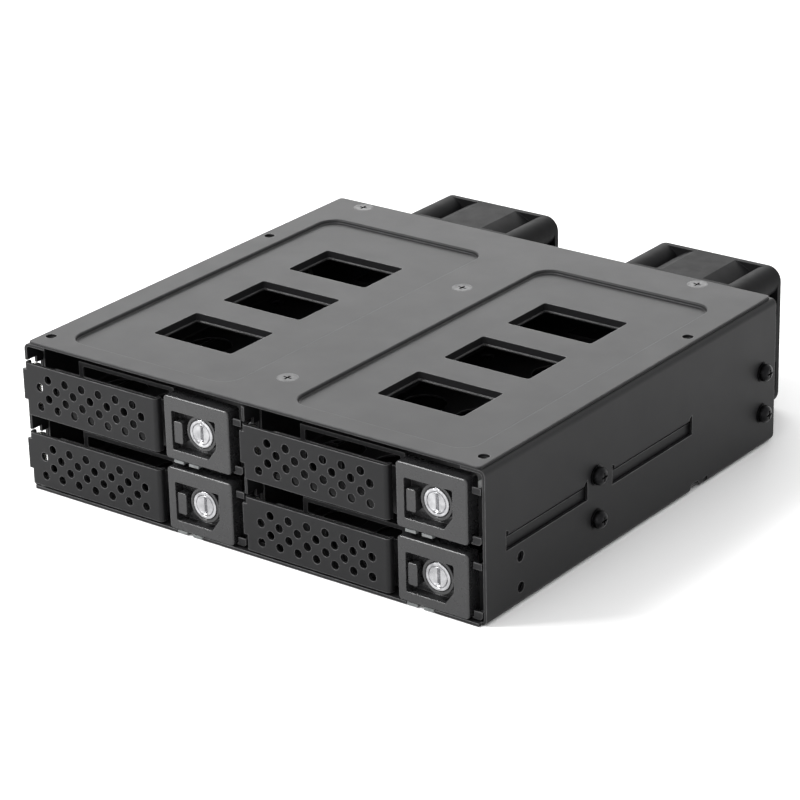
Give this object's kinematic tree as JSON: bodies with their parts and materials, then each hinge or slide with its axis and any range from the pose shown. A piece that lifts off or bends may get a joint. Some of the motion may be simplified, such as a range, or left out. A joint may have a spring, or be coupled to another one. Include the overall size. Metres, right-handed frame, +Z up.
{
  "type": "hot swap drive cage",
  "caption": "Black steel drive cage with slim hot swap trays, pierced swing handles, key locks, a windowed cover and rear fans",
  "frame": {"origin": "middle of the flat underside across the width, at the depth of the cover's front edge", "axes": "+X is the cage's right side seen from the front, +Y runs from the front to the fans, +Z is up"},
  "size_m": [0.1508, 0.1534, 0.0413],
  "materials": {
    "black_powder_coated_steel": "fine matte texture",
    "black_oxide_steel": "satin",
    "nickel_plated_steel": "satin",
    "chromed_zinc": "bright, lightly worn",
    "black_latch_plastic": "fine matte texture",
    "black_fan_plastic": "satin",
    "black_nylon": "satin",
    "clear_acrylic": "polished",
    "board_black": "solder mask"
  },
  "bodies": {
    "cage": {"chassis_shell": "black_powder_coated_steel", "top_cover": "black_powder_coated_steel", "centre_divider": "black_powder_coated_steel", "rear_panel": "black_powder_coated_steel", "backplane_board": "board_black", "board_standoffs": "nickel_plated_steel", "board_screws": "nickel_plated_steel", "data_connectors": "black_nylon", "power_connectors": "black_nylon", "status_leds": "clear_acrylic", "fan_screws": "black_oxide_steel", "cover_screws": "black_oxide_steel", "side_washers": "black_oxide_steel", "side_screws": "black_oxide_steel", "left_fan_frame": "black_fan_plastic", "right_fan_frame": "black_fan_plastic", "lower_left_drive_connector": "black_nylon", "lower_right_drive_connector": "black_nylon", "upper_left_drive_connector": "black_nylon", "upper_right_drive_connector": "black_nylon"},
    "left_rotor": {"left_fan_rotor": "black_fan_plastic"},
    "right_rotor": {"right_fan_rotor": "black_fan_plastic"},
    "lower_left_tray_body": {"lower_left_tray": "black_powder_coated_steel", "lower_left_light_pipes": "clear_acrylic", "lower_left_latch_plate": "black_latch_plastic", "lower_left_hinge_pin": "nickel_plated_steel", "lower_left_handle_spring": "nickel_plated_steel"},
    "lower_left_handle_body": {"lower_left_handle": "black_powder_coated_steel"},
    "lower_left_catch_body": {"lower_left_release_catch": "black_latch_plastic", "lower_left_catch_spring": "nickel_plated_steel"},
    "lower_left_lock_body": {"lower_left_lock_barrel": "chromed_zinc"},
    "lower_right_tray_body": {"lower_right_tray": "black_powder_coated_steel", "lower_right_light_pipes": "clear_acrylic", "lower_right_latch_plate": "black_latch_plastic", "lower_right_hinge_pin": "nickel_plated_steel", "lower_right_handle_spring": "nickel_plated_steel"},
    "lower_right_handle_body": {"lower_right_handle": "black_powder_coated_steel"},
    "lower_right_catch_body": {"lower_right_release_catch": "black_latch_plastic", "lower_right_catch_spring": "nickel_plated_steel"},
    "lower_right_lock_body": {"lower_right_lock_barrel": "chromed_zinc"},
    "upper_left_tray_body": {"upper_left_tray": "black_powder_coated_steel", "upper_left_light_pipes": "clear_acrylic", "upper_left_latch_plate": "black_latch_plastic", "upper_left_hinge_pin": "nickel_plated_steel", "upper_left_handle_spring": "nickel_plated_steel"},
    "upper_left_handle_body": {"upper_left_handle": "black_powder_coated_steel"},
    "upper_left_catch_body": {"upper_left_release_catch": "black_latch_plastic", "upper_left_catch_spring": "nickel_plated_steel"},
    "upper_left_lock_body": {"upper_left_lock_barrel": "chromed_zinc"},
    "upper_right_tray_body": {"upper_right_tray": "black_powder_coated_steel", "upper_right_light_pipes": "clear_acrylic", "upper_right_latch_plate": "black_latch_plastic", "upper_right_hinge_pin": "nickel_plated_steel", "upper_right_handle_spring": "nickel_plated_steel"},
    "upper_right_handle_body": {"upper_right_handle": "black_powder_coated_steel"},
    "upper_right_catch_body": {"upper_right_release_catch": "black_latch_plastic", "upper_right_catch_spring": "nickel_plated_steel"},
    "upper_right_lock_body": {"upper_right_lock_barrel": "chromed_zinc"}
  },
  "joints": [
    {"name": "left_fan_spin", "type": "hinge", "parent": "cage", "child": "left_rotor", "pos_m": [-0.0296, 0.139, 0.021], "axis": [0, 1, 0], "continuous": true},
    {"name": "right_fan_spin", "type": "hinge", "parent": "cage", "child": "right_rotor", "pos_m": [0.043, 0.139, 0.021], "axis": [0, 1, 0], "continuous": true},
    {"name": "lower_left_tray_slide", "type": "slide", "parent": "cage", "child": "lower_left_tray_body", "axis": [0, -1, 0], "range_m": [0, 0.125]},
    {"name": "lower_left_handle_swing", "type": "hinge", "parent": "lower_left_tray_body", "child": "lower_left_handle_body", "pos_m": [-0.0705, 0.00125, 0.00865], "axis": [0, 0, -1], "range_deg": [0, 90]},
    {"name": "lower_left_catch_slide", "type": "slide", "parent": "lower_left_tray_body", "child": "lower_left_catch_body", "axis": [1, 0, 0], "range_m": [0, 0.0014], "stiffness_N_per_m": 60},
    {"name": "lower_left_lock_turn", "type": "hinge", "parent": "lower_left_tray_body", "child": "lower_left_lock_body", "pos_m": [-0.0131, 0, 0.0099], "axis": [0, 1, 0], "range_deg": [0, 90]},
    {"name": "lower_right_tray_slide", "type": "slide", "parent": "cage", "child": "lower_right_tray_body", "axis": [0, -1, 0], "range_m": [0, 0.125]},
    {"name": "lower_right_handle_swing", "type": "hinge", "parent": "lower_right_tray_body", "child": "lower_right_handle_body", "pos_m": [0.0021, 0.00125, 0.00865], "axis": [0, 0, -1], "range_deg": [0, 90]},
    {"name": "lower_right_catch_slide", "type": "slide", "parent": "lower_right_tray_body", "child": "lower_right_catch_body", "axis": [1, 0, 0], "range_m": [0, 0.0014], "stiffness_N_per_m": 60},
    {"name": "lower_right_lock_turn", "type": "hinge", "parent": "lower_right_tray_body", "child": "lower_right_lock_body", "pos_m": [0.0595, 0, 0.0099], "axis": [0, 1, 0], "range_deg": [0, 90]},
    {"name": "upper_left_tray_slide", "type": "slide", "parent": "cage", "child": "upper_left_tray_body", "axis": [0, -1, 0], "range_m": [0, 0.125]},
    {"name": "upper_left_handle_swing", "type": "hinge", "parent": "upper_left_tray_body", "child": "upper_left_handle_body", "pos_m": [-0.0705, 0.00125, 0.02825], "axis": [0, 0, -1], "range_deg": [0, 90]},
    {"name": "upper_left_catch_slide", "type": "slide", "parent": "upper_left_tray_body", "child": "upper_left_catch_body", "axis": [1, 0, 0], "range_m": [0, 0.0014], "stiffness_N_per_m": 60},
    {"name": "upper_left_lock_turn", "type": "hinge", "parent": "upper_left_tray_body", "child": "upper_left_lock_body", "pos_m": [-0.0131, 0, 0.0295], "axis": [0, 1, 0], "range_deg": [0, 90]},
    {"name": "upper_right_tray_slide", "type": "slide", "parent": "cage", "child": "upper_right_tray_body", "axis": [0, -1, 0], "range_m": [0, 0.125]},
    {"name": "upper_right_handle_swing", "type": "hinge", "parent": "upper_right_tray_body", "child": "upper_right_handle_body", "pos_m": [0.0021, 0.00125, 0.02825], "axis": [0, 0, -1], "range_deg": [0, 90]},
    {"name": "upper_right_catch_slide", "type": "slide", "parent": "upper_right_tray_body", "child": "upper_right_catch_body", "axis": [1, 0, 0], "range_m": [0, 0.0014], "stiffness_N_per_m": 60},
    {"name": "upper_right_lock_turn", "type": "hinge", "parent": "upper_right_tray_body", "child": "upper_right_lock_body", "pos_m": [0.0595, 0, 0.0295], "axis": [0, 1, 0], "range_deg": [0, 90]}
  ]
}
